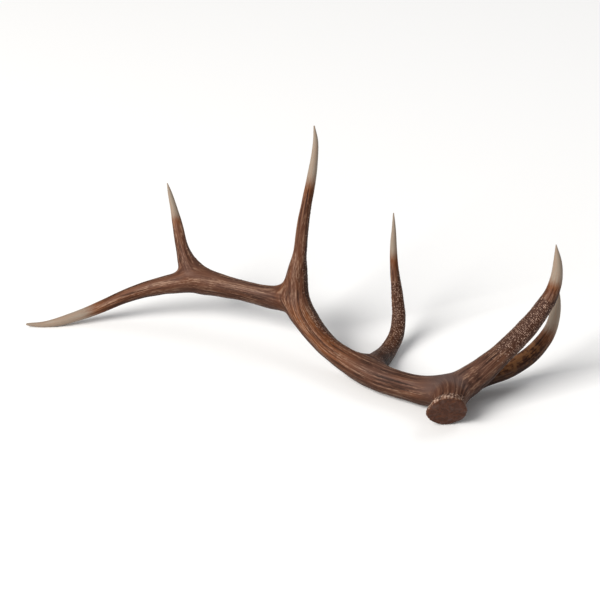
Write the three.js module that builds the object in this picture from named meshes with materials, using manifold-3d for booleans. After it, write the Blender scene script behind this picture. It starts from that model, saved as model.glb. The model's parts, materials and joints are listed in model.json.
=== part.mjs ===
// A shed elk antler, left side, with six points, lying at rest with its tines upward.
// Units are millimetres and +Z is up. X runs along the length, the tip of the beam at -X.
// The antler is one grown piece of bone. Here it is divided square across at its main forks,
// so each mesh is a simple tapering limb or a limb with the root of one tine.
import * as THREE from "three";
import { mergeVertices } from "three/addons/utils/BufferGeometryUtils.js";
import Module from "manifold-3d";

const wasm = await Module();
wasm.setup();

// Driving dimensions.
const SIDES = 18; // facets round a limb
const RING_STEP = 17; // length of one facet along a limb
const ROUNDING = 1.01; // lets the facets lie as much outside a round limb as inside it
const GAP = 0.3; // clearance between two pieces that meet at a division
const WEB_THICKNESS = 0.82; // radius of a fork's web over that of the limbs it joins
const WEB_REACH = 58; // how far along each limb a fork's web runs from the fork

// The burr: the ring of knobs round the face that sat on the skull.
const SEAT_PITCH = 17; // degrees that the antler rises from its seat
const SEAT_YAW = 4.6; // degrees that it turns to the left as it leaves the seat
const SEAT_RADIUS = 36; // flat part of the face
const BURR_RADIUS = 42.2; // middle of the ring of knobs
const BURR_RISE = 5; // height of the knobs' widest line above the face
const BURR_HEIGHT = 19; // height at which the ring has faded into the shaft
const BURR_NECK = 30; // radius at that height
const BURR_KNOBS = 13; // knobs round the ring
const BURR_RELIEF = 1.3; // how far a knob stands out of the ring
const BURR_SIDES = 46; // facets round the ring

// Stations along the middle of each limb: x, y, z and radius, measured from the seat's centre.
const BEAM = [
  [0, 0, 0, 30],
  [6, 38, 9, 33],
  [-6, 68, 2, 31],
  [-50, 92, -5, 29],
  [-95, 116, -6, 27],
  [-137, 142, -6, 26],
  [-195, 192, 0, 25],
  [-250, 247, 16, 24.5],
  [-296, 310, 45, 26],
  [-319, 341, 62, 27],
  [-372, 371, 59, 23],
  [-443, 402, 61, 23],
  [-514, 428, 62, 23],
  [-550, 436, 59, 21],
  [-623, 443, 43, 18.5],
  [-695, 439, 20, 16],
  [-767, 428, -9, 13],
  [-838, 413, -28, 10],
  [-876, 409, -33, 6.5],
  [-914, 406, -34, 1.5],
];
const BROW = [
  [6, 38, 9, 28],
  [43, 68, 26, 29],
  [81, 88, 49, 24],
  [129, 115, 83, 22],
  [171, 140, 118, 21],
  [200, 157, 152, 18],
  [220, 168, 183, 15.5],
  [229, 176, 217, 12.5],
  [230, 184, 251, 8.5],
  [226, 193, 284, 1.5],
];
const BEZ = [
  [-6, 68, 2, 26],
  [30, 101, -1, 23],
  [74, 130, -2, 20],
  [132, 155, 4, 19],
  [179, 175, 24, 18],
  [209, 190, 50, 16.5],
  [228, 199, 81, 13.5],
  [237, 208, 120, 11],
  [238, 215, 157, 6],
  [234, 220, 179, 1.5],
];
const TREZ = [
  [-159, 159, -4, 21],
  [-136, 217, -14, 20.5],
  [-115, 266, -21, 18.5],
  [-99, 301, -15, 17],
  [-89, 327, -1, 15.5],
  [-85, 348, 23, 14.5],
  [-88, 369, 59, 12.5],
  [-95, 391, 109, 10],
  [-98, 408, 162, 7.5],
  [-98, 416, 205, 4.5],
  [-99, 423, 238, 1.5],
];
const ROYAL = [
  [-312, 341, 67, 23],
  [-309, 358, 115, 18.5],
  [-302, 376, 172, 14.5],
  [-296, 393, 225, 13],
  [-287, 409, 277, 12],
  [-278, 422, 323, 10.5],
  [-271, 433, 370, 8],
  [-269, 441, 404, 5.5],
  [-272, 449, 434, 1.5],
];
const SURROYAL = [
  [-517, 426, 59, 20],
  [-539, 442, 80, 19],
  [-555, 458, 105, 15.5],
  [-565, 473, 132, 13],
  [-573, 491, 168, 11.5],
  [-582, 508, 206, 8],
  [-591, 522, 239, 5],
  [-596, 529, 257, 1.5],
];

// Where the tines leave the beam, and where the limbs are divided, as a length in
// millimetres along each limb from its root.
const FORK_BEZ = 72;
const FORK_TREZ = 253;
const FORK_ROYAL = 501;
const FORK_SURROYAL = 722;
const CUT_BEAM_1 = 150; // above the brow and bez forks
const CUT_BEAM_2 = 350; // above the trez fork
const CUT_BEAM_3 = 590; // above the royal fork
const CUT_BEAM_4 = 806; // above the surroyal fork
const CUT_BROW = 118;
const CUT_BEZ = 112;
const CUT_TREZ = 84;
const CUT_ROYAL = 84;
const CUT_SURROYAL = 74;

// A limb: a smooth line through its stations, its length, and its radius at any length.
function limb(stations) {
  const points = stations.map((s) => new THREE.Vector3(s[0], s[1], s[2]));
  const line = new THREE.CatmullRomCurve3(points, false, "centripetal");
  line.arcLengthDivisions = 1200;
  const lengths = line.getLengths();
  const at = stations.map((s, i) => {
    const part = Math.round((i / (stations.length - 1)) * 1200);
    return lengths[part];
  });
  const radii = stations.map((s) => s[3]);
  const profile = new THREE.CubicInterpolant(at, radii, 1);
  const frames = line.computeFrenetFrames(600, false);
  return { line, frames, length: lengths[1200], profile };
}

function radiusAt(branch, s) {
  return branch.profile.evaluate(s)[0];
}

function pointAt(branch, s) {
  return branch.line.getPointAt(s / branch.length);
}

// One closed solid made of a geometry, its corners merged so that every edge is shared.
function solid(geometry) {
  const bare = geometry.clone();
  bare.deleteAttribute("normal");
  bare.deleteAttribute("uv");
  const merged = mergeVertices(bare, 1e-3);
  const mesh = new wasm.Mesh({
    numProp: 3,
    vertProperties: new Float32Array(merged.attributes.position.array),
    triVerts: new Uint32Array(merged.index.array),
  });
  return new wasm.Manifold(mesh);
}

// A cylinder bent along a limb from one length to another, with the limb's own radius.
function shaft(branch, from, to) {
  const rings = Math.max(2, Math.round((to - from) / RING_STEP));
  const geometry = new THREE.CylinderGeometry(1, 1, 1, SIDES, rings);
  const position = geometry.attributes.position;
  const vertex = new THREE.Vector3();
  for (let i = 0; i < position.count; i++) {
    vertex.fromBufferAttribute(position, i);
    const s = from + (vertex.y + 0.5) * (to - from);
    const u = s / branch.length;
    const k = Math.round(u * 600);
    const centre = branch.line.getPointAt(u);
    const tangent = branch.line.getTangentAt(u);
    const side = branch.frames.normals[k].clone();
    side.addScaledVector(tangent, -side.dot(tangent)).normalize();
    const other = new THREE.Vector3().crossVectors(tangent, side);
    const r = radiusAt(branch, s) * ROUNDING;
    centre.addScaledVector(side, vertex.z * r);
    centre.addScaledVector(other, vertex.x * r);
    position.setXYZ(i, centre.x, centre.y, centre.z);
  }
  return solid(geometry);
}

// A web that rounds off the crotch of a fork: a bent cylinder that leaves one limb and turns
// into the other along a quadratic curve, thinner than both so that its ends stay inside them.
function web(first, s1, second, s2, corner) {
  const start = pointAt(first, s1);
  const end = pointAt(second, s2);
  const bend = new THREE.QuadraticBezierCurve3(start, corner, end);
  const r1 = radiusAt(first, s1) * WEB_THICKNESS;
  const r2 = radiusAt(second, s2) * WEB_THICKNESS;
  const geometry = new THREE.CylinderGeometry(1, 1, 1, SIDES - 6, 7);
  const position = geometry.attributes.position;
  const frames = bend.computeFrenetFrames(7, false);
  const vertex = new THREE.Vector3();
  for (let i = 0; i < position.count; i++) {
    vertex.fromBufferAttribute(position, i);
    const k = Math.round((vertex.y + 0.5) * 7);
    const u = k / 7;
    const centre = bend.getPointAt(u);
    const side = frames.normals[k];
    const other = new THREE.Vector3().crossVectors(bend.getTangentAt(u), side);
    const r = THREE.MathUtils.lerp(r1, r2, u);
    centre.addScaledVector(side, vertex.z * r);
    centre.addScaledVector(other, vertex.x * r);
    position.setXYZ(i, centre.x, centre.y, centre.z);
  }
  return solid(geometry);
}

// The burr: a turned disc whose rim swells into knobs, with a flat face on the seat's plane.
function burr() {
  const profile = [
    new THREE.Vector2(0, 0),
    new THREE.Vector2(SEAT_RADIUS, 0),
    new THREE.Vector2(BURR_RADIUS, BURR_RISE),
    new THREE.Vector2(BURR_RADIUS - 3, BURR_RISE + 6),
    new THREE.Vector2(BURR_NECK, BURR_HEIGHT),
    new THREE.Vector2(0, BURR_HEIGHT),
  ];
  const geometry = new THREE.LatheGeometry(profile, BURR_SIDES);
  const position = geometry.attributes.position;
  for (let i = 0; i < position.count; i++) {
    const x = position.getX(i);
    const y = position.getY(i);
    const z = position.getZ(i);
    const angle = Math.atan2(z, x);
    const knob = Math.sin(angle * BURR_KNOBS) + 0.5 * Math.sin(angle * 3 + 1);
    const rim = y > 0 && y < BURR_HEIGHT ? 1 : 0;
    const swell = 1 + (rim * knob * BURR_RELIEF) / BURR_RADIUS;
    position.setXYZ(i, x * swell, y, z * swell);
  }
  geometry.rotateX(THREE.MathUtils.degToRad(SEAT_PITCH));
  geometry.rotateZ(THREE.MathUtils.degToRad(SEAT_YAW));
  return solid(geometry);
}

const beam = limb(BEAM);
const brow = limb(BROW);
const bez = limb(BEZ);
const trez = limb(TREZ);
const royal = limb(ROYAL);
const surroyal = limb(SURROYAL);

// The root of a tine that leaves the beam, with a web on each side of the tine.
function fork(at, tine, cut) {
  const root = shaft(tine, 0, cut);
  const below = web(beam, at - WEB_REACH, tine, WEB_REACH, pointAt(beam, at));
  const above = web(beam, at + WEB_REACH, tine, WEB_REACH, pointAt(beam, at));
  return root.add(below).add(above);
}

// The burr with the first stretch of beam and the roots of the two lowest tines, which leave
// the beam close together, so that one web joins them to each other.
function base() {
  const roots = shaft(brow, 0, CUT_BROW).add(shaft(bez, 0, CUT_BEZ));
  const above = web(beam, FORK_BEZ + WEB_REACH, bez, WEB_REACH, pointAt(beam, FORK_BEZ));
  const between = web(brow, WEB_REACH + 12, bez, WEB_REACH + 12, pointAt(beam, FORK_BEZ - 14));
  const saddle = web(beam, FORK_BEZ + WEB_REACH, brow, WEB_REACH, pointAt(beam, FORK_BEZ - 20));
  const webs = above.add(between).add(saddle);
  return shaft(beam, 2, CUT_BEAM_1).add(burr()).add(roots).add(webs);
}

const bodies = {
  burr_base: base(),
  lower_beam: shaft(beam, CUT_BEAM_1 + GAP, CUT_BEAM_2).add(fork(FORK_TREZ, trez, CUT_TREZ)),
  middle_beam: shaft(beam, CUT_BEAM_2 + GAP, CUT_BEAM_3).add(fork(FORK_ROYAL, royal, CUT_ROYAL)),
  upper_beam: shaft(beam, CUT_BEAM_3 + GAP, CUT_BEAM_4).add(
    fork(FORK_SURROYAL, surroyal, CUT_SURROYAL),
  ),
  terminal_tine: shaft(beam, CUT_BEAM_4 + GAP, beam.length),
  brow_tine: shaft(brow, CUT_BROW + GAP, brow.length),
  bez_tine: shaft(bez, CUT_BEZ + GAP, bez.length),
  trez_tine: shaft(trez, CUT_TREZ + GAP, trez.length),
  royal_tine: shaft(royal, CUT_ROYAL + GAP, royal.length),
  surroyal_tine: shaft(surroyal, CUT_SURROYAL + GAP, surroyal.length),
};

// Colour and roughness of each piece: brown, pearled bone, paler where a tine ends polished.
const FINISH = {
  burr_base: [0x4a342b, 0.75],
  lower_beam: [0x5f3f2e, 0.6],
  middle_beam: [0x6b4530, 0.55],
  upper_beam: [0x6e4c38, 0.55],
  terminal_tine: [0x8a6f58, 0.45],
  brow_tine: [0x6f5241, 0.6],
  bez_tine: [0x5e4330, 0.6],
  trez_tine: [0x5b3d2e, 0.6],
  royal_tine: [0x7a5c47, 0.5],
  surroyal_tine: [0x7f6350, 0.5],
};

// The antler stands in its own frame, with the origin under the middle of its box.
const antler = new THREE.Group();
const box = new THREE.Box3();
for (const [name, body] of Object.entries(bodies)) {
  const made = body.getMesh();
  const geometry = new THREE.BufferGeometry();
  const vertices = new THREE.BufferAttribute(made.vertProperties, 3);
  geometry.setAttribute("position", vertices);
  geometry.setIndex(new THREE.BufferAttribute(made.triVerts, 1));
  geometry.computeVertexNormals();
  geometry.computeBoundingBox();
  box.union(geometry.boundingBox);
  const [color, roughness] = FINISH[name];
  const material = new THREE.MeshStandardMaterial({ color, roughness, metalness: 0 });
  const mesh = new THREE.Mesh(geometry, material);
  mesh.name = name;
  antler.add(mesh);
}
const middle = box.getCenter(new THREE.Vector3());
antler.position.set(-middle.x, -middle.y, -box.min.z);

export default antler;
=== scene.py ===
import json
import math

import bpy
import numpy as np
from bpy.props import FloatProperty, FloatVectorProperty, IntProperty, PointerProperty
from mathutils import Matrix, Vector

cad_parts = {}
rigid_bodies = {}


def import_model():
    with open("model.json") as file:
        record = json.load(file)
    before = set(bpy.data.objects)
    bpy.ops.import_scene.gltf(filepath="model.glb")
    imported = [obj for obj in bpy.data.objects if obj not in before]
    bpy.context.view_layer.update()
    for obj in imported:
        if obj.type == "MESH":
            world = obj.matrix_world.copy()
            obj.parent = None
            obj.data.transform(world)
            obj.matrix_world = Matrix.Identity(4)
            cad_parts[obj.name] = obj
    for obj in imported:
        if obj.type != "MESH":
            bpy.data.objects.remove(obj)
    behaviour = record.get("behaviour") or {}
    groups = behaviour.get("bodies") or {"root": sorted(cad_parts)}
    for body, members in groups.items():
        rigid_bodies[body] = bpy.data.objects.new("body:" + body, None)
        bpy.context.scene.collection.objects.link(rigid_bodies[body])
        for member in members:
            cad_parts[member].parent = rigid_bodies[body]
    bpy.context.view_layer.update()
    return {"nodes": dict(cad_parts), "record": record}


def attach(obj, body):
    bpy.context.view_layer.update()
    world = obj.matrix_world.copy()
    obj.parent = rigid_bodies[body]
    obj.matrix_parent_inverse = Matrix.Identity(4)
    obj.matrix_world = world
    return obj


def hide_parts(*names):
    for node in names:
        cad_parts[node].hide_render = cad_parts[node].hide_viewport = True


bl_info = {
    "name": "Elk Antler",
    "version": (1, 0, 0),
    "blender": (4, 5, 0),
    "location": "View3D > Sidebar > Antler",
    "description": "Grows a shed elk antler as one skin over its limbs, and lays it on its stage",
    "category": "Add Mesh",
}

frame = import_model()
SEAT = np.array(frame["record"]["mounts"][0]["pos_m"], float) * 1000.0
AXIS = -np.array(frame["record"]["mounts"][0]["axis"], float)

# ---------------------------------------------------------------- the limbs
# Stations along the middle of each limb: x, y, z and radius in millimetres, from the seat.

LIMBS = {
    "beam": [
        (0, 0, 0, 30), (6, 38, 9, 33), (-6, 68, 2, 31), (-50, 92, -5, 29), (-95, 116, -6, 27),
        (-137, 142, -6, 26), (-195, 192, 0, 25), (-250, 247, 16, 24.5), (-296, 310, 45, 25),
        (-319, 341, 62, 25), (-372, 371, 59, 23), (-443, 402, 61, 23), (-514, 428, 62, 22.5),
        (-550, 436, 59, 21), (-623, 443, 43, 18.5), (-695, 439, 20, 16), (-767, 428, -9, 13),
        (-838, 413, -28, 10), (-876, 409, -34, 6.4), (-911, 406, -32, 2.6)],
    "brow": [
        (6, 38, 9, 16), (43, 68, 26, 28), (81, 88, 49, 24), (129, 115, 83, 22), (171, 140, 118, 21),
        (200, 157, 152, 18), (220, 168, 183, 15.5), (229, 176, 217, 12.5), (230, 184, 251, 8.5),
        (226, 193, 284, 1.5)],
    "bez": [
        (-6, 68, 2, 14), (30, 101, -1, 23), (74, 130, -2, 20), (132, 155, 4, 19),
        (179, 175, 24, 18), (209, 190, 50, 16.5), (228, 199, 81, 13.5), (237, 208, 120, 11),
        (238, 215, 157, 6), (234, 220, 179, 1.5)],
    "trez": [
        (-159, 159, -4, 11), (-136, 217, -14, 20.5), (-115, 266, -21, 18.5), (-99, 301, -15, 17),
        (-89, 327, -1, 15.5), (-85, 348, 23, 14.5), (-88, 369, 59, 12.5), (-95, 391, 109, 10),
        (-98, 408, 162, 7.5), (-98, 416, 205, 4.5), (-99, 423, 238, 1.5)],
    "royal": [
        (-312, 341, 67, 12), (-309, 358, 115, 18.5), (-302, 376, 172, 14.5), (-296, 393, 225, 13),
        (-287, 409, 277, 12), (-278, 422, 323, 10.5), (-271, 433, 370, 8), (-269, 441, 404, 5.5),
        (-272, 449, 434, 1.5)],
    "surroyal": [
        (-517, 426, 59, 11), (-539, 442, 80, 18), (-555, 458, 105, 15.5), (-565, 473, 132, 13),
        (-573, 491, 168, 11.5), (-582, 508, 206, 8), (-591, 522, 239, 5), (-596, 529, 257, 1.5)],
}

# The middle of each fork.
FORKS = {
    "root": (2, 60, 6),
    "crown": (64, 95, 19),
    "trez": (-158, 164, -5),
    "royal": (-313, 345, 72),
    "surroyal": (-532, 436, 69),
}

# Each stretch of skin: the fork it leaves, the fork it reaches (or None), the limb it follows
# and the lengths along that limb where it starts and ends (END is the limb's own end). The
# neck goes down to the seat, and the collar goes straight from one fork to the other.
END = -1.0
STRETCHES = {
    "neck": ("root", None, None, 0.0, 0.0),
    "collar": ("root", "crown", None, 0.0, 0.0),
    "brow": ("crown", None, "brow", 82.0, END),
    "bez": ("crown", None, "bez", 78.0, END),
    "beam_1": ("root", "trez", "beam", 62.0, 256.0),
    "trez": ("trez", None, "trez", 2.0, END),
    "beam_2": ("trez", "royal", "beam", 256.0, 500.0),
    "royal": ("royal", None, "royal", 4.0, END),
    "beam_3": ("royal", "surroyal", "beam", 500.0, 738.0),
    "surroyal": ("surroyal", None, "surroyal", 18.0, END),
    "tip": ("surroyal", None, "beam", 738.0, END),
}

# The length along its limb where each stretch is divided between two pieces.
CUTS = {"beam_1": 150.0, "beam_2": 350.0, "beam_3": 590.0, "tip": 806.0,
        "brow": 118.0, "bez": 112.0, "trez": 84.0, "royal": 84.0, "surroyal": 74.0}

# Each piece: its material slot, the stretches that make it and the side of the cut it takes.
PIECES = {
    "burr_base": ("burr", [("neck", "all"), ("collar", "all"), ("brow", "low"), ("bez", "low"),
                           ("beam_1", "low")]),
    "lower_beam": ("beam", [("beam_1", "high"), ("trez", "low"), ("beam_2", "low")]),
    "middle_beam": ("beam", [("beam_2", "high"), ("royal", "low"), ("beam_3", "low")]),
    "upper_beam": ("beam", [("beam_3", "high"), ("surroyal", "low"), ("tip", "low")]),
    "brow_tine": ("tine", [("brow", "high")]),
    "bez_tine": ("tine", [("bez", "high")]),
    "trez_tine": ("tine", [("trez", "high")]),
    "royal_tine": ("tine", [("royal", "high")]),
    "surroyal_tine": ("tine", [("surroyal", "high")]),
    "terminal_tine": ("tine", [("tip", "high")]),
}

# The lines that the grain runs along: each follows one limb, or one and then another. Each
# stretch has its own, and at each fork one runs straight through and the branch leaves it.
GRAIN_LINES = {
    "trunk": LIMBS["beam"][:8] + [(-299, 318, 64, 25)] + LIMBS["royal"][2:],
    "high": [(-299, 339, 57, 25)] + LIMBS["beam"][10:],
    "brow": [LIMBS["beam"][0]] + LIMBS["brow"],
    "bez": LIMBS["bez"],
    "trez": LIMBS["trez"],
    "surroyal": LIMBS["surroyal"],
}
STRETCH_GRAIN = {"neck": "trunk", "collar": "brow", "brow": "brow", "bez": "bez", "beam_1": "trunk",
                 "trez": "trez", "beam_2": "trunk", "royal": "trunk", "beam_3": "high",
                 "surroyal": "surroyal", "tip": "high"}
FORK_GRAIN = {"root": "trunk", "crown": "brow", "trez": "trunk", "royal": "trunk", "surroyal": "high"}
GRAIN_ROOT = 42.0      # a line's grain is wrapped round the radius it has here, or further on

# The crotches that a web of bone fills: the fork, the two limbs and the lengths along them
# where the web ends.
WEBS = [
    ("crown", "brow", 112.0, "bez", 108.0),
    ("trez", "trez", 58.0, "beam", 314.0),
    ("trez", "trez", 56.0, "beam", 196.0),
    ("royal", "royal", 62.0, "beam", 566.0),
    ("royal", "royal", 70.0, "beam", 436.0),
    ("surroyal", "surroyal", 62.0, "beam", 790.0),
    ("surroyal", "surroyal", 60.0, "beam", 668.0),
    ("root", "beam", 116.0, "brow", 84.0),
]
WEB_THICKNESS = 0.8
WEB_END = 0.35         # a web's share of its thickness at its ends

# How far back from each tine's end its worn pale tip reaches, in millimetres.
TIP_REACH = {"brow": 87.0, "bez": 116.0, "trez": 104.0, "royal": 135.0, "surroyal": 84.0, "tip": 160.0}

# What shows at each fork and along each stretch: beads, rust, grey and dark, and for the
# stretches first the length from where they start. Grey greys the upper sides, partly as
# bleaching and partly as painted sheen. Dark is painted shade, deepest on the sides and
# undersides, as at the trez tine's root behind the beam. Most go from 0 to 1, and a dark
# above 1 paints shade on the upper side too.
TONES = ("beads", "rust", "grey", "dark")
FORK_TONES = {
    "root": (0.03, 0.1, 0.9, 0.1),
    "crown": (0.25, 0.15, 0.5, 0.1),
    "trez": (0.12, 0.2, 0.4, 0.25),
    "royal": (0.6, 0.8, 0.1, 0.0),
    "surroyal": (0.1, 0.35, 0.3, 0.0),
}
STRETCH_TONES = {
    "neck": [(0, 0.1, 0.1, 0.6, 0.15), (35, 0.35, 0.1, 0.2, 0.4), (60, 0.5, 0.1, 0.1, 0.25)],
    "collar": [(0, 0.1, 0.1, 0.6, 0.1)],
    "brow": [(0, 0.45, 0.2, 0.4, 0.2), (50, 0.74, 0.2, 0.3, 0.2), (120, 1.0, 0.1, 0.3, 0.15),
             (222, 1.0, 0.3, 0.2, 0.15), (252, 0.0, 0.9, 0.0, 0.0)],
    "bez": [(0, 0.3, 0.6, 0.1, 0.8), (50, 0.3, 0.97, 0.0, 0.9), (150, 0.35, 1.0, 0.0, 0.7),
            (210, 0.0, 0.9, 0.0, 0.2)],
    "beam_1": [(0, 0.0, 0.1, 0.9, 0.1), (60, 0.05, 0.45, 0.6, 0.15), (190, 0.15, 0.3, 0.45, 0.1)],
    "trez": [(0, 0.2, 0.0, 0.0, 1.4), (40, 0.6, 0.15, 0.0, 1.4), (110, 0.86, 0.5, 0.0, 0.9),
             (200, 0.9, 0.35, 0.15, 0.4), (290, 0.88, 0.4, 0.1, 0.2), (340, 0.0, 0.5, 0.0, 0.0)],
    "beam_2": [(0, 0.15, 0.4, 0.35, 0.1), (100, 0.55, 0.8, 0.1, 0.0), (160, 0.72, 0.85, 0.0, 0.0),
               (240, 0.7, 0.85, 0.0, 0.0)],
    "royal": [(0, 0.65, 0.7, 0.1, 0.1), (60, 0.75, 0.4, 0.1, 0.15), (170, 0.72, 0.25, 0.1, 0.1),
              (250, 0.0, 0.4, 0.1, 0.0)],
    "beam_3": [(0, 0.25, 0.6, 0.2, 0.0), (80, 0.1, 0.3, 0.5, 0.0)],
    "surroyal": [(0, 0.1, 0.3, 0.3, 0.0), (60, 0.2, 0.3, 0.2, 0.0), (140, 0.0, 0.5, 0.2, 0.0)],
    "tip": [(0, 0.08, 0.25, 0.4, 0.0), (100, 0.0, 0.3, 0.4, 0.0), (200, 0.0, 0.6, 0.2, 0.0)],
}

# Places where the streaks die away: middle, how far it reaches, and how much.
QUIET = [
    (-14, 68, 24, 52, 1.0),
    (0, 30, 10, 30, 0.75),
    (50, 90, 20, 36, 0.5),
    (-340, 356, 68, 38, 0.6),
    (-130, 178, 0, 34, 0.5),
    (-536, 440, 74, 26, 0.5),
]

# Relief drawn out along the limbs: its width, its length and the seed of its noise.
FLUTES = (11.0, 180.0, 3)
RIDGES = (4.6, 110.0, 4)
FINE_LINES = (2.3, 60.0, 5)
CHANNEL_BEDS = (8.0, 150.0, 6)
CHANNEL_WIDTH = 0.08   # in the noise's own units

# Beads and knobs: the pitch of their cells round a limb, how much longer the cells are than
# wide, and the seed.
BEAD_CELLS = (3.2, 1.35, 11)
KNOB_CELLS = (5.6, 1.1, 21)

# Streaks of colour finer than the mesh: their width, their length and the seed.
STREAKS = {"streak": (3.6, 110.0, 1.0), "thread": (1.5, 48.0, 2.0),
           "bundle": (9.0, 130.0, 3.0), "hair": (1.1, 9.0, 4.0)}

SHADED = (0.75, 0.3, 0.35)          # the side where beads crowd and the colour carries the darkest painted shade
LIT = np.array([-0.75, 0.3, 0.6])   # the side of the burr whose knobs stand out most
BURR_TURN = 3.0        # height above the seat where the burr is widest
BURR_RADIUS = 41.0
BURR_TOP = 21.0        # height above the seat where the burr has run out into the neck
BURR_EDGE = 1.5        # height above the widest ring where it starts to run out
BURR_WAVER = [(0.9, 3, 1.0), (0.8, 5, 2.5), (0.6, 8, 0.0)]   # size, lobes and start of each wave
BURR_BAND = (2.0, 22.0)   # heights above the widest ring between which the burr's finish fades
SEAT_DOME = 1.2
RIM_STEPS = 5
FACE_STEPS = 40
RIM_PATH = 5.0         # the grain's length over the rim, and to the middle of the face
FACE_PATH = 43.0
TIP_STEPS = 5
TIP_BLUNTNESS = 1.3
TIP_BAND = (0.62, 1.3)    # the shares of its reach between which a tip wears through
TIP_ROUND = 6.0        # how far back from a free end the skin is nothing but round
BLUNT_REACH = 30.0     # how far back from a free end the skin is plainly round
JOIN = 64.0            # how far along a limb from a fork a stretch is back on the limb's middle
LEAN_REACH = 60.0      # how far from a fork the rings take to stand square, and how much
LEAN_GAIN = 55.0       # further where they lean as far ahead as they are wide
FORK_FADE = 50.0       # how far a fork's own grain reaches along the limbs
COARSE = 48            # rays cast round a ring; the rest are carried by cubics
CAST_EVERY = 4.0       # distance between the rings whose rays are cast
CAST_STEPS = 9         # steps out by the distance itself, and then by the secant rule
CAST_SECANTS = 4
CHUNK = 6000           # points whose distances are worked out at once
NEAR = 95.0            # what comes this near a stretch takes part in its skin
NEAR_FORK = 115.0      # and this near a fork's middle, in its seams
WAY_OUT = 42.0         # how far from a fork the way of a stretch is taken
SEAM_SPREAD = 0.3      # the least sine that a seam's direction is divided by
NECK_LEAN = 0.6        # the share of the neck along which rings may lean
LEAN_MOST = 0.96       # and of the other stretches
HALF_RINGS = (2.0, 26.0)   # from a fork, where half rings go over into whole ones
GRAIN_APART = 3000.0   # distance between the lengths of one grain line and the next
LINE_STEPS = 60        # points from one station to the next, before they are evened out
WEB_RODS = 14
NOISE_GAIN = 1.6       # brings the noise to about -1 to 1
MIXERS = np.array([374761393, 668265263, 2147483647, 1274126177, 2246822519], np.uint32)
SEED_STEP = 974634777


# ---------------------------------------------------------------- curves and small sums

def unit(v):
    """A vector, or each row of an array, divided by its own length."""
    v = np.asarray(v, float)
    return v / np.maximum(np.linalg.norm(v, axis=-1, keepdims=True), 1e-12)


def smooth(x, low=0.0, high=1.0):
    """Zero below low, one above high, and the S-curve 3t^2 - 2t^3 between them."""
    t = np.clip((np.asarray(x, float) - low) / (high - low), 0.0, 1.0)
    return t * t * (3.0 - 2.0 * t)


def hermite(t, p0, p1, m0, m1):
    """The cubic with value p0 and slope m0 at t = 0, and value p1 and slope m1 at t = 1."""
    return ((2 * t**3 - 3 * t**2 + 1) * p0 + (t**3 - 2 * t**2 + t) * m0
            + (3 * t**2 - 2 * t**3) * p1 + (t**3 - t**2) * m1)


def resampled(curve, step):
    """A curve's points at equal steps along it, and their lengths from its start."""
    s = np.r_[0, np.cumsum(np.linalg.norm(np.diff(curve[:, :3], axis=0), axis=1))]
    at = np.linspace(0, s[-1], int(round(s[-1] / step)) + 1)
    return at, np.stack([np.interp(at, s, column) for column in curve.T], 1)


def limb_line(stations, step=2.0):
    """Points and radii along a centripetal Catmull-Rom curve through the stations: knots are
    spaced by the root of the chord, and each knot's tangent is the sum of the slopes on both
    sides less the slope across both."""
    p = np.asarray(stations, float)
    p = np.vstack([2 * p[0] - p[1], p, 2 * p[-1] - p[-2]])
    d = np.sqrt(np.linalg.norm(np.diff(p[:, :3], axis=0), axis=1))[:, None]
    slope = np.diff(p, axis=0) / d
    m = slope[:-1] + slope[1:] - (p[2:] - p[:-2]) / (d[1:] + d[:-1])
    t = np.linspace(0, 1, LINE_STEPS, endpoint=False)[None, :, None]
    w = d[1:-1, None]
    curve = hermite(t, p[1:-2, None], p[2:-1, None], w * m[:-1, None], w * m[1:, None])
    return resampled(np.vstack([curve.reshape(-1, 4), p[-2]]), step)


LINES = {name: limb_line(stations) for name, stations in LIMBS.items()}


def along(limb, s):
    """Position and radius on a limb at lengths s from its root."""
    at, line = LINES[limb]
    return np.stack([np.interp(s, at, column) for column in line.T], -1)


def carried_frames(line, side):
    """Tangents of a line, and two directions square to it at every point that are carried
    along with no turning about it."""
    tangent = unit(np.gradient(line, axis=0))
    sides = np.empty_like(line)
    for i, t in enumerate(tangent):
        side = unit(side - (side @ t) * t)
        sides[i] = side
    return tangent, sides, np.cross(sides, tangent)


class GrainLine:
    """One line of grain: its points, frames, lengths and the radius it is wrapped round."""

    def __init__(self, number, stations):
        self.s, line = limb_line(stations)
        self.p = line[:, :3]
        self.tangent, self.side, self.other = carried_frames(self.p, np.array([0.0, 0.3, 1.0]))
        radius = np.where(self.s < GRAIN_ROOT, np.interp(GRAIN_ROOT, self.s, line[:, 3]), line[:, 3])
        self.radius = np.maximum(radius, 3.0)
        self.far = GRAIN_APART * number

    def place(self, x):
        """Where points lie on the grain: the angle round the line, as the cosine and sine times
        the radius there, and the length along it."""
        i = ((self.p ** 2).sum(1) - 2 * x @ self.p.T).argmin(1)
        out = x - self.p[i]
        ways = (self.tangent, self.side, self.other)
        ahead, up, across = (np.einsum("nk,nk->n", out, way[i]) for way in ways)
        size = self.radius[i] / np.maximum(np.hypot(up, across), 1e-6)
        return np.stack([up * size, across * size, self.s[i] + ahead + self.far], 1)


GRAINS = {name: GrainLine(number, line) for number, (name, line) in enumerate(GRAIN_LINES.items())}
GRAIN_S = np.concatenate([line.s + line.far for line in GRAINS.values()])
GRAIN_RADIUS = np.concatenate([line.radius for line in GRAINS.values()])


def web_chain(fork, first, s_first, second, s_second):
    """A web's rods along a curve of the second degree from one limb to the other, with the
    fork's middle as its corner, thinner than the limbs and thinnest at its ends."""
    a, c = along(first, s_first), along(second, s_second)
    b = np.r_[np.array(FORKS[fork], float), (a[3] + c[3]) / 2]
    t = np.linspace(0, 1, WEB_RODS)[:, None]
    rods = (1 - t) ** 2 * a + 2 * t * (1 - t) * b + t ** 2 * c
    rods[:, 3] *= WEB_THICKNESS * (WEB_END + (1 - WEB_END) * 4 * t[:, 0] * (1 - t[:, 0]))
    return rods


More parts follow.
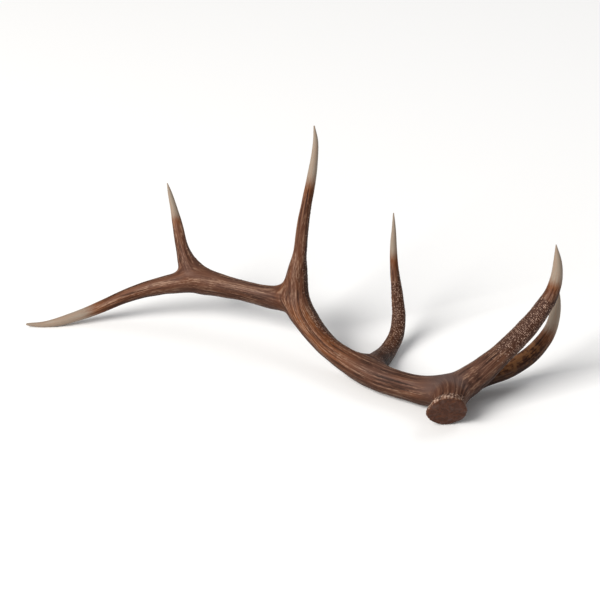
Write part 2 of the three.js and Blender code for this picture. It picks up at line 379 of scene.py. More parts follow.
def cubic_weights(count_in, count_out, closed):
    """A matrix that carries count_in even samples to count_out by Catmull-Rom cubics, round a
    closed ring or from end to end of an open row, whose ends are continued straight."""
    x = np.arange(count_out) * (count_in / count_out) if closed \
        else np.linspace(0, count_in - 1, count_out)
    i = np.floor(x).astype(int)
    if not closed:
        i = np.minimum(i, count_in - 2)
    t = x - i
    w = np.stack([-0.5 * t + t**2 - 0.5 * t**3, 1 - 2.5 * t**2 + 1.5 * t**3,
                  0.5 * t + 2 * t**2 - 1.5 * t**3, -0.5 * t**2 + 0.5 * t**3], 1)
    padded = np.zeros((count_out, count_in + 2))
    rows = np.arange(count_out)
    for k in range(4):
        padded[rows, (i + k - 1) % count_in + 1 if closed else i + k] += w[:, k]
    out = padded[:, 1:-1].copy()
    if not closed:
        out[:, 0] += 2 * padded[:, 0]
        out[:, 1] -= padded[:, 0]
        out[:, -1] += 2 * padded[:, -1]
        out[:, -2] -= padded[:, -1]
    return out


# ---------------------------------------------------------------- the solid under the skin

def chain_distance(x, chain):
    """Distance from points x to a chain of tapering rods: for each rod, the distance to the
    nearest point of its middle line less the radius there, and the least over all rods."""
    a, ab = chain[:-1], chain[1:] - chain[:-1]
    length2 = (ab[:, :3] ** 2).sum(1)
    out = np.empty(len(x))
    for i in range(0, len(x), CHUNK):
        q = x[i:i + CHUNK, None, :] - a[None, :, :3]
        t = np.clip(np.einsum("nmk,mk->nm", q, ab[:, :3]) / length2, 0, 1)
        q -= t[..., None] * ab[:, :3]
        away = np.sqrt(np.einsum("nmk,nmk->nm", q, q))
        out[i:i + CHUNK] = (away - a[:, 3] - t * ab[:, 3]).min(1)
    return out


def merged_distance(x, chains, fillet):
    """The limbs' distances joined by the soft least value -k ln(sum of exp(-d / k)), which
    fills each crotch with a fillet that grows with k."""
    d = np.stack([chain_distance(x, c) for c in chains])
    low = d.min(0)
    return low - fillet * np.log(np.exp(-(d - low) / fillet).sum(0))


def near_chains(middle, reach=NEAR):
    """The parts of all limbs and webs that come within reach of a line of points."""
    chains = []
    for rods in [line[::3] for _, line in LINES.values()] + [web_chain(*web) for web in WEBS]:
        gap = np.linalg.norm(rods[:, None, :3] - middle[None, ::4], axis=2).min(1)
        keep = np.flatnonzero(gap < reach)
        if len(keep) > 1:
            chains.append(rods[keep[0]:keep[-1] + 1])
    return chains


def cast(origin, ray, chains, fillet):
    """How far along each unit ray the merged surface lies: steps out by the distance itself,
    which falls short from inside, then closes in by the secant rule."""
    def gap(t):
        return merged_distance(origin + t[:, None] * ray, chains, fillet)

    start, step_back, least_slope, most_move, tiny = 2.0, 0.8, 0.25, 6, 1e-6
    t = np.full(len(ray), start)
    for _ in range(CAST_STEPS):
        t = t - gap(t)
    before = t - step_back
    gap_before = gap(before)
    for _ in range(CAST_SECANTS):
        value = gap(t)
        run = t - before
        slope = (value - gap_before) / np.where(np.abs(run) < tiny, tiny, run)
        before, gap_before = t, value
        t = t - np.clip(value / np.maximum(slope, least_slope), -most_move, most_move)
    return t


# ---------------------------------------------------------------- stretches and forks

def eased(first, last, way, steps=40):
    """A cubic from a fork's middle to a limb, which it meets along the limb's way with no bend
    at the fork itself: its slope there is 1.5 times the chord less half the last slope."""
    chord = last - first
    slope = np.linalg.norm(chord) * way
    return hermite(np.linspace(0, 1, steps)[:, None], first, last, 1.5 * chord - 0.5 * slope, slope)


def limb_part(limb, s0, s1, first, last):
    """A limb's middle from s0 to s1 with the length along it as a fourth column, its first or
    last part replaced by a cubic to a fork's middle."""
    low = s0 + JOIN if first is not None else s0
    high = s1 - JOIN if last is not None else s1
    s = np.linspace(low, high, 120)
    line = np.c_[along(limb, s)[:, :3], s]
    ends = unit(line[[1, -1], :3] - line[[0, -2], :3])
    parts = [line]
    if first is not None:
        curve = eased(first, line[0, :3], ends[0])
        parts.insert(0, np.c_[curve, np.linspace(s0, low, len(curve))][:-1])
    if last is not None:
        curve = eased(last, line[-1, :3], -ends[1])
        parts.append(np.c_[curve, np.linspace(s1, high, len(curve))][-2::-1])
    return np.vstack(parts)


def middle_line(name, spec, ring_step):
    """The middle of a stretch at equal steps. The neck is a cubic that meets the burr's axis
    square on, the collar a straight line, and the rest follow their limb between their forks."""
    start, end, limb, s0, s1 = spec
    first = np.array(FORKS[start], float)
    last = np.array(FORKS[end], float) if end else None
    if name == "neck":
        turn = BURR_TURN * AXIS
        square = 3.0 * turn
        t = np.linspace(0, 1, 200)[:, None]
        size = np.linalg.norm(first - square)
        curve = hermite(t, first, square, size * unit(square - first), -size * AXIS)
        curve = np.vstack([curve, turn])
    elif limb is None:
        curve = np.stack([first, last])
    else:
        return resampled(limb_part(limb, s0, s1, first, last), ring_step)[1]
    return resampled(np.c_[curve, np.zeros(len(curve))], ring_step)[1]


class Stretch:
    """One tube of skin between two forks, or from a fork to an end: its middle line, its
    length so far at each ring, and the frame of each ring."""

    def __init__(self, name, spec, ring_step):
        start, end, limb, s0, s1 = spec
        if s1 == END:
            s1 = LINES[limb][0][-1]
        self.name, self.start, self.end, self.limb = name, start, end, limb
        line = middle_line(name, (start, end, limb, s0, s1), ring_step)
        self.middle, self.limb_s = line[:, :3], line[:, 3]
        self.s = np.r_[0, np.cumsum(np.linalg.norm(np.diff(self.middle, axis=0), axis=1))]
        self.length = self.s[-1]
        self.cut = int(np.argmin(np.abs(self.limb_s - CUTS[name]))) if name in CUTS else None

    def way_out(self, fork):
        """The direction in which this stretch leaves a fork, taken a little way out."""
        out = WAY_OUT if self.start == fork else self.length - WAY_OUT
        p = np.array([np.interp(out, self.s, column) for column in self.middle.T])
        return unit(p - np.array(FORKS[fork], float))

    def set_frames(self, forks):
        """Side directions of the rings, carried along with no turning about the middle line.
        They start on the first fork's normal, and turn evenly until they meet the last fork's,
        on whichever side of it needs the smaller turn."""
        self.tangent, side, other = carried_frames(self.middle, forks[self.start]["normal"])
        self.signs = {self.start: 1}
        if self.end:
            normal = forks[self.end]["normal"]
            turn = math.atan2(normal @ other[-1], normal @ side[-1])
            self.signs[self.end] = 1
            if abs(turn) > math.pi / 2:
                self.signs[self.end] = -1
                turn -= math.copysign(math.pi, turn)
            angle = (turn * smooth(self.s / self.length))[:, None]
            side = np.cos(angle) * side + np.sin(angle) * other
        self.side, self.other = side, np.cross(side, self.tangent)


def fork_plane(name, stretches):
    """A fork's middle and normal, its members in turn round the normal, and the seam between
    each two: the half-plane that halves the angle between them, stretched so that it
    covers a round section on either side."""
    members = [s for s in stretches.values() if name in (s.start, s.end)]
    ways = [m.way_out(name) for m in members]
    normal = unit(sum(np.cross(ways[i], ways[(i + 1) % 3]) for i in range(3)))
    x = unit(ways[0] - (ways[0] @ normal) * normal)
    y = np.cross(normal, x)
    angle = np.array([math.atan2(w @ y, w @ x) % math.tau for w in ways])
    order = np.argsort(angle)
    angle = angle[order]
    seams = []
    for i in range(3):
        half = ((angle[(i + 1) % 3] - angle[i]) % math.tau) / 2
        a = angle[i] + half
        seams.append((math.cos(a) * x + math.sin(a) * y) / max(math.sin(half), SEAM_SPREAD))
    return {"middle": np.array(FORKS[name], float), "normal": normal,
            "members": [members[i].name for i in order], "seams": np.array(seams)}


def seam_places(fork, stretch, name, columns):
    """For each column round a stretch's ring at a fork: which seam it lies on, and how many
    steps down that seam it is from the pole on the normal's side."""
    i = fork["members"].index(stretch.name)
    sign = stretch.signs[name]
    onward, back = i, (i - 1) % 3
    first, second = (onward, back) if (stretch.start == name) == (sign > 0) else (back, onward)
    half = columns // 2
    j = np.arange(columns)
    down = np.where(j <= half, j, columns - j)
    return np.where(j <= half, first, second), down if sign > 0 else half - down


def seam_rays(fork, seam, down, columns):
    """cos(v) times the normal plus sin(v) times the seam's own direction, v from 0 to pi."""
    v = (down * (math.tau / columns))[:, None]
    return np.cos(v) * fork["normal"] + np.sin(v) * fork["seams"][seam]


def stretch_rays(st, forks, rings, columns):
    """Unit rays of the chosen rings: a flat fan round the middle line, to which is added, near
    a fork, what turns the fan into that fork's seams. The addition fades along the limb, the
    slower the more a ray leans."""
    v = np.arange(columns) * (math.tau / columns)
    circle = np.stack([np.cos(v), np.sin(v)], 1)
    fan = np.einsum("ck,rkx->rcx", circle, np.stack([st.side, st.other], 1))
    rays = fan[rings].copy()
    for name in filter(None, (st.start, st.end)):
        away = st.s if name == st.start else st.length - st.s
        seam, down = seam_places(forks[name], st, name, columns)
        extra = seam_rays(forks[name], seam, down, columns) - fan[0 if name == st.start else -1]
        most = st.length * (NECK_LEAN if st.name == "neck" else LEAN_MOST)
        reach = np.minimum(LEAN_REACH + LEAN_GAIN * np.linalg.norm(extra, axis=1), most)
        fade = np.clip(1 - away[rings][:, None] / reach, 0, 1)
        rays += fade[..., None] * extra
    return unit(rays)


def ring_distances(st, forks, columns, fillet):
    """The skin's distance along every ray: cast on a coarse grid of rings and columns, then
    carried to all by cubics. Near a fork each half ring is carried on its own, because the
    ring has a corner on each pole there, and the fork's own ring is the fork's seams."""
    rings = len(st.s)
    picks = np.linspace(0, rings - 1, int(round(st.length / CAST_EVERY)) + 1).round().astype(int)
    rays = stretch_rays(st, forks, picks, COARSE)
    origin = np.repeat(st.middle[picks], COARSE, axis=0)
    t = cast(origin, rays.reshape(-1, 3), near_chains(st.middle), fillet).reshape(-1, COARSE)
    half = COARSE // 2
    carry = cubic_weights(half + 1, columns // 2 + 1, False)
    second_half = np.hstack([t[:, half:], t[:, :1]]) @ carry.T
    halves = np.hstack([t[:, :half + 1] @ carry.T, second_half[:, 1:-1]])
    away = np.minimum(st.s, st.length - st.s) if st.end else st.s
    mix = smooth(away[picks], *HALF_RINGS)[:, None]
    t = (t @ cubic_weights(COARSE, columns, True).T) * mix + halves * (1 - mix)
    for name in filter(None, (st.start, st.end)):
        seam, down = seam_places(forks[name], st, name, columns)
        t[0 if name == st.start else -1] = forks[name]["t"][seam, down]
    x = st.s[picks]
    i = np.clip(np.searchsorted(x, st.s, side="right") - 1, 0, len(x) - 2)
    width = (x[i + 1] - x[i])[:, None]
    slope = np.gradient(t, x, axis=0)
    at = (st.s - x[i])[:, None] / width
    t = hermite(at, t[i], t[i + 1], width * slope[i], width * slope[i + 1])
    if st.end or st.name == "neck":
        return t
    plain = smooth(st.length - st.s, TIP_ROUND, BLUNT_REACH)[:, None]
    return t * plain + limb_radius(st)[:, None] * (1 - plain)


def ring_quads(ids):
    """Quads between each ring of point numbers and the next, closed round the ring."""
    a, b = ids[:-1], ids[1:]
    return np.stack([a, b, np.roll(b, -1, 1), np.roll(a, -1, 1)], -1).reshape(-1, 4)


def fan_faces(ring, middle):
    """Triangles from a ring to one point ahead of it."""
    return np.stack([ring, np.full(len(ring), middle), np.roll(ring, -1)], 1)


# ---------------------------------------------------------------- notes along the limbs

def limb_radius(st):
    """The limb's own radius at each ring."""
    return along(st.limb, st.limb_s)[:, 3]


def tip_note(st):
    """How far each ring has gone over into the worn tip, from 0 to 1."""
    if st.name not in TIP_REACH:
        return np.zeros(len(st.s))
    reach = TIP_REACH[st.name]
    return 1 - smooth(st.length - st.s, TIP_BAND[0] * reach, TIP_BAND[1] * reach)


def tone_notes(st, share, near):
    """The tones at each ring: the stretch's own, gone over to the nearest fork's by its share."""
    table = np.array(STRETCH_TONES[st.name], float).T
    own = np.stack([np.interp(st.s, table[0], row) for row in table[1:]])
    return dict(zip(TONES, (own * (1 - share) + near * share)[..., None]))


def burr_note(st):
    """Nearness to the burr, from 0 on the beam to 1 at its widest ring."""
    if st.name != "neck":
        return np.zeros(len(st.s))
    return 1 - smooth(st.length - st.s, *BURR_BAND)


def burr_flare(t, st, v):
    """The neck opens into the burr: its radius goes over to the burr's, which wavers a little
    round the rim, along an S-curve of the height above the seat."""
    height = BURR_TURN + (st.length - st.s)[:, None]
    waver = sum(size * np.sin(lobes * v + start) for size, lobes, start in BURR_WAVER)
    open_up = 1 - smooth(height, BURR_TURN + BURR_EDGE, BURR_TOP)
    return t + (np.maximum(BURR_RADIUS + waver, t) - t) * open_up


# ---------------------------------------------------------------- the grown skin

class Skin:
    """The whole skin in one table of points with their notes, and each stretch's rings as
    rows of numbers into it, so that stretches which meet share their points. Notes are the
    grain's place on the stretch and on the fork, the fork's share, how far a point has gone
    over into tip and burr, and the tones."""

    NOTES = ("grain", "fork_grain", "share", "tip", "burr") + TONES

    def __init__(self, columns, ring_step, fillet):
        self.columns, self.fillet, self.count = columns, fillet, 0
        self.parts = {key: [] for key in ("p",) + self.NOTES}
        self.stretches = {n: Stretch(n, spec, ring_step) for n, spec in STRETCHES.items()}
        self.forks = {n: fork_plane(n, self.stretches) for n in FORKS}
        for name in self.forks:
            self.grow_fork(name)
        for st in self.stretches.values():
            st.set_frames(self.forks)
            self.grow_stretch(st)
        for key, values in self.parts.items():
            setattr(self, key, np.concatenate(values))
        self.quads = np.concatenate([ring_quads(st.ids) for st in self.stretches.values()])
        self.fans = np.concatenate([fan_faces(st.ids[-1], st.end_point)
                                    for st in self.stretches.values() if not st.end])

    def add(self, p, **notes):
        """Appends a block of points with their notes and returns their numbers."""
        p = np.asarray(p, float)
        block = p.shape[:-1]
        self.parts["p"].append(p.reshape(-1, 3))
        for key in self.NOTES:
            value = np.asarray(notes.get(key, 0.0), float)
            width = (3,) if "grain" in key else ()
            self.parts[key].append(np.broadcast_to(value, block + width).reshape((-1,) + width))
        first, self.count = self.count, self.count + int(np.prod(block))
        return np.arange(first, self.count).reshape(block)

    def grow_fork(self, name):
        """A fork's two poles and three seams, each seam cast as one open row of rays."""
        fork = self.forks[name]
        half, coarse = self.columns // 2, COARSE // 2
        carry = cubic_weights(coarse + 1, half + 1, False)
        chains = near_chains(fork["middle"][None], NEAR_FORK)
        down, rows, ids = np.arange(half + 1), [], []
        for k in range(3):
            rays = unit(seam_rays(fork, k, np.arange(coarse + 1), COARSE))
            t = carry @ cast(np.tile(fork["middle"], (coarse + 1, 1)), rays, chains, self.fillet)
            p = fork["middle"] + t[:, None] * unit(seam_rays(fork, k, down, self.columns))
            p = p if k == 0 else p[1:-1]
            grain = GRAINS[FORK_GRAIN[name]].place(p)
            tones = dict(zip(TONES, FORK_TONES[name]))
            row = self.add(p, grain=grain, fork_grain=grain, share=1.0, **tones)
            ids.append(row if k == 0 else np.r_[ids[0][0], row, ids[0][-1]])
            rows.append(t)
        fork["t"], fork["ids"] = np.array(rows), np.array(ids)

    def grow_stretch(self, st):
        """All rings of a stretch between its forks, then the burr's face or the tine's tip."""
        columns, rings = self.columns, len(st.s)
        v = np.arange(columns) * (math.tau / columns)
        t = ring_distances(st, self.forks, columns, self.fillet)
        if st.name == "neck":
            t = burr_flare(t, st, v)
        p = st.middle[:, None] + t[..., None] * stretch_rays(st, self.forks, np.arange(rings), columns)
        st.ids = np.zeros((rings, columns), int)
        flat = p.reshape(-1, 3)
        own = GRAINS[STRETCH_GRAIN[st.name]].place(flat).reshape(p.shape)
        share, near, near_tones = np.zeros((rings, 1)), own.copy(), np.zeros((len(TONES), rings))
        fade = min(FORK_FADE, st.length / 2)
        for name in filter(None, (st.start, st.end)):
            seam, down = seam_places(self.forks[name], st, name, columns)
            away = (st.s if name == st.start else st.length - st.s)[:, None]
            here = away[:, 0] <= fade
            share[here] = 1 - smooth(away[here], 0, fade)
            near[here] = GRAINS[FORK_GRAIN[name]].place(p[here].reshape(-1, 3)).reshape(near[here].shape)
            near_tones[:, here] = np.array(FORK_TONES[name])[:, None]
            st.ids[0 if name == st.start else -1] = self.forks[name]["ids"][seam, down]
        tones = tone_notes(st, share[:, 0], near_tones)
        new = slice(1, -1 if st.end else None)
        st.ids[new] = self.add(p[new], grain=own[new], fork_grain=near[new], share=share[new],
                               tip=tip_note(st)[new, None], burr=burr_note(st)[new, None],
                               **{key: tone[new] for key, tone in tones.items()})
        if not st.end:
            close = self.close_burr if st.name == "neck" else self.close_tip
            st.ids = np.vstack([st.ids, close(st, p[-1], own[-1])])

    def close_tip(self, st, ring, own):
        """A rounded end: quarter ellipses from the last ring to one point on the middle line."""
        middle, ahead = st.middle[-1], st.tangent[-1]
        out = ring - middle
        nose = TIP_BLUNTNESS * np.linalg.norm(out, axis=1).mean() * ahead
        turn = (np.arange(1, TIP_STEPS) / TIP_STEPS * math.pi / 2)[:, None, None]
        st.end_point = int(self.add((middle + nose)[None], grain=own[:1], tip=1.0)[0])
        return self.add(middle + out * np.cos(turn) + nose * np.sin(turn), grain=own, tip=1.0)

    def close_burr(self, st, ring, own):
        """The burr's rim as a quarter ellipse from its widest ring to the seat, then the seat's
        face as circles that shrink to its middle, slightly domed."""
        out = ring - st.middle[-1]
        wide = np.linalg.norm(out, axis=1)
        turn = (np.arange(1, RIM_STEPS + 1) / RIM_STEPS * math.pi / 2)[:, None]
        rim = wide - BURR_TURN * (1 - np.cos(turn))
        rim_height = np.broadcast_to(BURR_TURN * (1 - np.sin(turn)), rim.shape)
        inward = np.linspace(1, 0, FACE_STEPS, endpoint=False)[1:, None]
        face = inward * rim[-1]
        radius = np.vstack([rim, face])[..., None]
        dome = np.broadcast_to(-SEAT_DOME * (1 - inward ** 2), face.shape)
        height = np.vstack([rim_height, dome])[..., None]
        p = height * AXIS + radius * (out / wide[:, None])
        path = np.r_[np.linspace(1, RIM_PATH, RIM_STEPS),
                     np.linspace(RIM_PATH + 1, FACE_PATH, len(inward))][:, None]
        grain = radius * own / wide[:, None]
        grain[..., 2] = own[:, 2] + path
        seat = np.r_[np.linspace(0.15, 1, RIM_STEPS), np.ones(len(inward))][:, None]
        st.end_point = int(self.add(-SEAT_DOME * AXIS[None], grain=grain[-1, :1], burr=2.0)[0])
        return self.add(p, grain=grain, burr=1 + seat)

    def normals(self):
        """Each point's normal: the sum of the area vectors of the faces round it."""
        total = np.zeros_like(self.p)
        for faces in (self.quads, self.fans):
            a, b, c, d = (self.p[faces[:, k]] for k in (0, 1, 2, -1))
            area = np.cross(c - a, d - b) if faces.shape[1] == 4 else np.cross(b - a, c - a)
            for corner in faces.T:
                for axis in range(3):
                    total[:, axis] += np.bincount(corner, area[:, axis], len(self.p))
        return unit(total)


# ---------------------------------------------------------------- noise

def lattice(q, seed):
    """A repeatable value from -1 to 1 for each whole-number point, by integer mixing."""
    x, y, z = (q[..., k].astype(np.uint32) for k in range(3))
    h = x * MIXERS[0] + y * MIXERS[1] + z * MIXERS[2]
    h = h + np.uint32((seed * SEED_STEP) & 0xFFFFFFFF)
    h = (h ^ (h >> np.uint32(13))) * MIXERS[3]
    h = (h ^ (h >> np.uint32(16))) * MIXERS[4]
    h ^= h >> np.uint32(15)
    return h / 2147483647.5 - 1.0


def noise(p, seed):
    """Smooth noise at points p of unit scale: values on the whole-number lattice, blended by
    quintic fades along each axis."""
    base = np.floor(p)
    f = p - base
    i = base.astype(np.int64)
    w = f * f * f * (f * (f * 6 - 15) + 10)
    total = 0.0
    for corner in range(8):
        c = np.array([corner & 1, (corner >> 1) & 1, corner >> 2])
        total = total + np.prod(np.where(c, w, 1 - w), axis=-1) * lattice(i + c, seed)
    return total * NOISE_GAIN


def fibre(skin, across, length, seed):
    """Noise drawn out along the limbs: its own pattern on each stretch, the fork's pattern
    near a fork, and their mean between, kept at even strength by the root of the squares."""
    scale, offset = 1 / np.array([across, across, length]), 9.1 * seed
    own = noise(skin.grain * scale + offset, seed)
    near = np.flatnonzero(skin.share > 0)
    fork = np.zeros_like(own)
    fork[near] = noise(skin.fork_grain[near] * scale + offset, seed)
    w = skin.share
    alike = np.abs(skin.grain - skin.fork_grain).max(1) < 1e-6
    return (own * (1 - w) + fork * w) / np.sqrt((1 - w) ** 2 + w ** 2 + 2 * alike * w * (1 - w))


# ---------------------------------------------------------------- relief

def scattered(place, pitch, stretch, seed):
    """Cells of one pitch round a limb and another along it, as many round as its girth holds
    there, to the nearest five, with one point scattered in each: the distance in cells to the
    nearest such point, and its own value."""
    turn = (np.arctan2(place[:, 1], place[:, 0]) / math.tau) % 1.0
    length = place[:, 2] / (pitch * stretch)
    best, value = np.full(len(place), 9.0), np.zeros(len(place))
    for step in (-1, 0, 1):
        row = np.floor(length) + step
        radius = np.interp((row + 0.5) * pitch * stretch, GRAIN_S, GRAIN_RADIUS)
        count = np.maximum(5 * np.round(radius * math.tau / pitch / 5), 5)
        across = turn * count
        for side in (-1, 0, 1):
            column = np.floor(across) + side
            cell = np.stack([column % count, row, count], -1).astype(np.int64)
            away = np.hypot(across - column - 0.5 - 0.12 * lattice(cell, seed),
                            length - row - 0.5 - 0.36 * lattice(cell, seed + 1))
            value = np.where(away < best, lattice(cell, seed + 2), value)
            best = np.minimum(best, away)
    return best, value


def bead_rows(place, thick):
    """Beads along the grain, one to each scattered cell, left out where the cell's own value is
    more than their thickness there."""
    d, value = scattered(place, *BEAD_CELLS)
    size = 0.86 + 0.14 * np.sin(17.0 * value)
    present = smooth((value - 0.85 + 2.1 * thick) / 0.35)
    return smooth(0.58 * size - d, 0.0, 0.46) * (0.8 + 0.2 * np.sin(29.0 * value)) * present


def calm_places(skin):
    """Where ridges and streaks die away: midway between a stretch's grain and a fork's, and
    round each quiet place by a bell of the distance."""
    calm = 2.0 * skin.share * (1 - skin.share)
    for x, y, z, reach, strength in QUIET:
        away2 = ((skin.p - (x, y, z)) ** 2).sum(1)
        calm = np.maximum(calm, strength * np.exp(-away2 / reach ** 2))
    return calm


def raise_beads(skin, thick):
    """The beads' height from 0 to 1, on the stretch's own grain and on the fork's, each where
    it holds enough of a share, and the higher of the two."""
    bead = np.zeros(len(thick))
    for place, weight in ((skin.grain, 1 - skin.share), (skin.fork_grain, skin.share)):
        here = np.flatnonzero((thick > 0.04) & (weight > 0.3))
        rows = bead_rows(place[here], thick[here]) * smooth(weight[here], 0.3, 0.6)
        bead[here] = np.maximum(bead[here], rows)
    return bead


def raise_knobs(skin, normal, rim):
    """The burr's knobs from 0 to 1, one to each scattered cell round the rim, uneven by a slow
    noise and highest on the lit side."""
    knob = np.zeros(len(rim))
    here = np.flatnonzero(rim > 0.01)
    d, value = scattered(skin.grain[here], *KNOB_CELLS)
    patchy = 0.6 * noise(skin.p[here] / 15.0, 22) + normal[here] @ LIT
    uneven = 0.4 + 0.6 * smooth(patchy, -0.3, 0.6)
    knob[here] = smooth(0.6 - d, 0.0, 0.45) * (0.8 + 0.2 * value) * rim[here] * uneven
    return knob


def raise_relief(skin, size):
    """Moves every point along its normal by the sum of slow swells, broad flutes, ridges and
    fine lines that run with the limbs, thin channels along the zero lines of a drawn-out
    noise, beads, the burr's knobs and the seat's pits. Beads stand all round where they are
    thick, and elsewhere on the shaded side, where the dark note is raised for painted shade.
    Then whatever is below the floor rises to it, by the mean of its height and its height's
    size, rounded off. Keeps what the finish reads."""
    normal, p = skin.normals(), skin.p
    seat = np.clip(skin.burr - 1, 0, 1)
    rim = np.clip(skin.burr, 0, 1) * (1 - seat)
    body = (1 - skin.tip) * (1 - seat)
    swell = 0.7 * noise(p / 60.0, 1) + 0.3 * noise(p / 26.0, 2)
    flute, ridge, line = (fibre(skin, *kind) for kind in (FLUTES, RIDGES, FINE_LINES))
    channel = np.exp(-((fibre(skin, *CHANNEL_BEDS) + 0.2 * line) / CHANNEL_WIDTH) ** 2)
    calm = calm_places(skin)
    lively = (0.55 + 0.45 * smooth(noise(p / 45.0, 8), -0.5, 0.4)) * (1 - calm)
    shaded = smooth(normal @ unit(SHADED), 0.15, 0.75)
    spread = shaded + (1 - shaded) * smooth(skin.beads, 0.7, 1.0)
    thick = skin.beads * spread * body * (0.85 + 0.15 * line + 0.25 * noise(p / 20.0, 9))
    # Painted shade: the dark note rises on the shaded side where beads grow, so the finish darkens that
    # side's colour.
    skin.dark = np.maximum(skin.dark, 0.9 * shaded * smooth(skin.beads, 0.3, 0.65) * body)
    bead = raise_beads(skin, thick)
    knob = raise_knobs(skin, normal, rim)
    pit = noise(p / 5.0, 31) + 0.5 * noise(p / 2.4, 32)
    grown = size.flute * flute + size.ridge * ridge + size.line * line - size.channel * channel
    move = swell * (1 - 0.6 * skin.tip) * (1 - 0.7 * seat) + body * lively * grown
    move += size.bead * bead + size.knob * knob + 0.4 * seat * pit
    skin.p = p + move[:, None] * normal
    height = skin.p[:, 2] + SEAT[2]
    skin.p[:, 2] += (np.sqrt(height ** 2 + 0.3) - height) / 2
    between_beads = 1.5 * np.clip(thick, 0, 0.65) * (1 - bead)
    skin.ridge = np.clip(0.5 + 0.1 * flute + 0.2 * ridge + 0.3 * line, 0, 1)
    skin.calm = np.maximum(calm, 0.85 * smooth(thick, 0.2, 0.8))
    skin.channel = np.maximum(0.35 * channel * lively, between_beads) * body
    skin.bead = np.clip(bead + knob, 0, 1)
    skin.pit = np.clip(0.5 + 0.5 * pit, 0, 1)
    # How far each point faces up: the finish paints shade on the undersides and a painted sheen on the
    # upper sides from it.
    skin.sky = smooth(normal[:, 2], -0.5, 0.9)
    skin.normal = skin.normals()


FINISH_NOTES = ("grain", "fork_grain", "share", "tip", "burr", "ridge", "calm", "channel", "bead", "pit",
                "sky", "rust", "grey", "dark")
GROWN = {}


def grown_skin():
    """The finished skin for the present sizes, grown once."""
    size = bpy.context.scene.antler_sizes
    key = tuple(getattr(size, name) for name in sorted(type(size).__annotations__))
    if key not in GROWN:
        GROWN.clear()
        GROWN[key] = Skin(size.columns, size.ring_step, size.fillet)
        raise_relief(GROWN[key], size)
    return GROWN[key]


# ---------------------------------------------------------------- pieces

def piece_faces(skin, parts):
    """The faces of one piece: its stretches' quads, the fans at their free ends, and the
    rings where it is cut, each with the direction that the cut faces."""
    quads, fans, cuts = [], [], []
    for name, side in parts:
        st = skin.stretches[name]
        rows = {"all": st.ids, "low": st.ids[:(st.cut or 0) + 1], "high": st.ids[st.cut or 0:]}[side]
        quads.append(ring_quads(rows))
        if side == "low":
            cuts.append((rows[-1], st.tangent[st.cut]))
        if side == "high":
            cuts.append((rows[0][::-1], -st.tangent[st.cut]))
        if side != "low" and not st.end:
            fans.append(fan_faces(st.ids[-1], st.end_point))
    return np.concatenate(quads), np.concatenate(fans or [np.zeros((0, 3), int)]), cuts


def build_piece(name, materials):
    """One closed piece of the skin: its quads and fans, a flat fan across each cut, the
    skin's own normals so that the light runs on across the cuts, and the finish's notes."""
    skin = grown_skin()
    slot, parts = PIECES[name]
    quads, fans, cuts = piece_faces(skin, parts)
    lids = [fan_faces(ring, skin.count + k) for k, (ring, _) in enumerate(cuts)]
    tris = np.concatenate([fans] + lids)
    corners = np.concatenate([quads.ravel(), tris.ravel()])
    used, loops = np.unique(corners, return_inverse=True)
    table = np.vstack([skin.p] + [skin.p[ring].mean(0) for ring, _ in cuts])
    mesh = bpy.data.meshes.new(name)
    mesh.vertices.add(len(used))
    mesh.vertices.foreach_set("co", ((table[used] + SEAT) / 1000.0).ravel())
    mesh.loops.add(len(loops))
    mesh.loops.foreach_set("vertex_index", loops.astype(np.int32).ravel())
    sizes = np.r_[np.full(len(quads), 4), np.full(len(tris), 3)]
    mesh.polygons.add(len(sizes))
    mesh.polygons.foreach_set("loop_start", np.r_[0, np.cumsum(sizes)[:-1]].astype(np.int32))
    mesh.update(calc_edges=True)
    mesh.polygons.foreach_set("use_smooth", np.ones(len(sizes), bool))
    for key in FINISH_NOTES:
        values = getattr(skin, key)
        values = np.concatenate([values] + [values[ring].mean(0)[None] for ring, _ in cuts])[used]
        kind, field = ("FLOAT_VECTOR", "vector") if values.ndim > 1 else ("FLOAT", "value")
        attribute = mesh.attributes.new(key, kind, "POINT")
        attribute.data.foreach_set(field, values.astype(np.float32).ravel())
    normal = np.vstack([skin.normal] + [way for _, way in cuts])[corners]
    lid_corners = sum(lid.size for lid in lids)
    if lid_corners:
        normal[-lid_corners:] = np.repeat([way for _, way in cuts], [lid.size for lid in lids], axis=0)
    mesh.normals_split_custom_set(normal.tolist())
    if mesh.validate(verbose=True):
        raise RuntimeError(f"{name} has broken faces")
    piece = bpy.data.objects.new("antler_" + name, mesh)
    bpy.context.scene.collection.objects.link(piece)
    mesh.materials.append(materials[slot])
    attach(piece, "root")
    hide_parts(name)
    return piece


# ---------------------------------------------------------------- materials

def node(tree, kind, links=(), **settings):
    """A node with its settings, and its inputs set to values or linked to other sockets."""
    made = tree.nodes.new(kind)
    for key, value in settings.items():
        setattr(made, key, value)
    for key, value in dict(links).items():
        if isinstance(value, bpy.types.NodeSocket):
            tree.links.new(value, made.inputs[key])
        else:
            made.inputs[key].default_value = value
    return made


def math_node(tree, operation, *values):
    """The result of one sum on one, two or three values."""
    return node(tree, "ShaderNodeMath", enumerate(values), operation=operation).outputs[0]


def ramp(tree, value, low, high, to_low=0.0, to_high=1.0):
    """An S-curve from to_low at low to to_high at high."""
    links = {"Value": value, "From Min": low, "From Max": high, "To Min": to_low, "To Max": to_high}
    return node(tree, "ShaderNodeMapRange", links, interpolation_type="SMOOTHSTEP").outputs[0]


def mix_colour(tree, share, first, second):
    """Two colours mixed by a share."""
    links = {0: share, 6: first, 7: second}
    return node(tree, "ShaderNodeMix", links, data_type="RGBA").outputs[2]


def note(tree, name, output="Fac"):
    """One of the notes that the mesh carries."""
    return node(tree, "ShaderNodeAttribute", attribute_name=name).outputs[output]


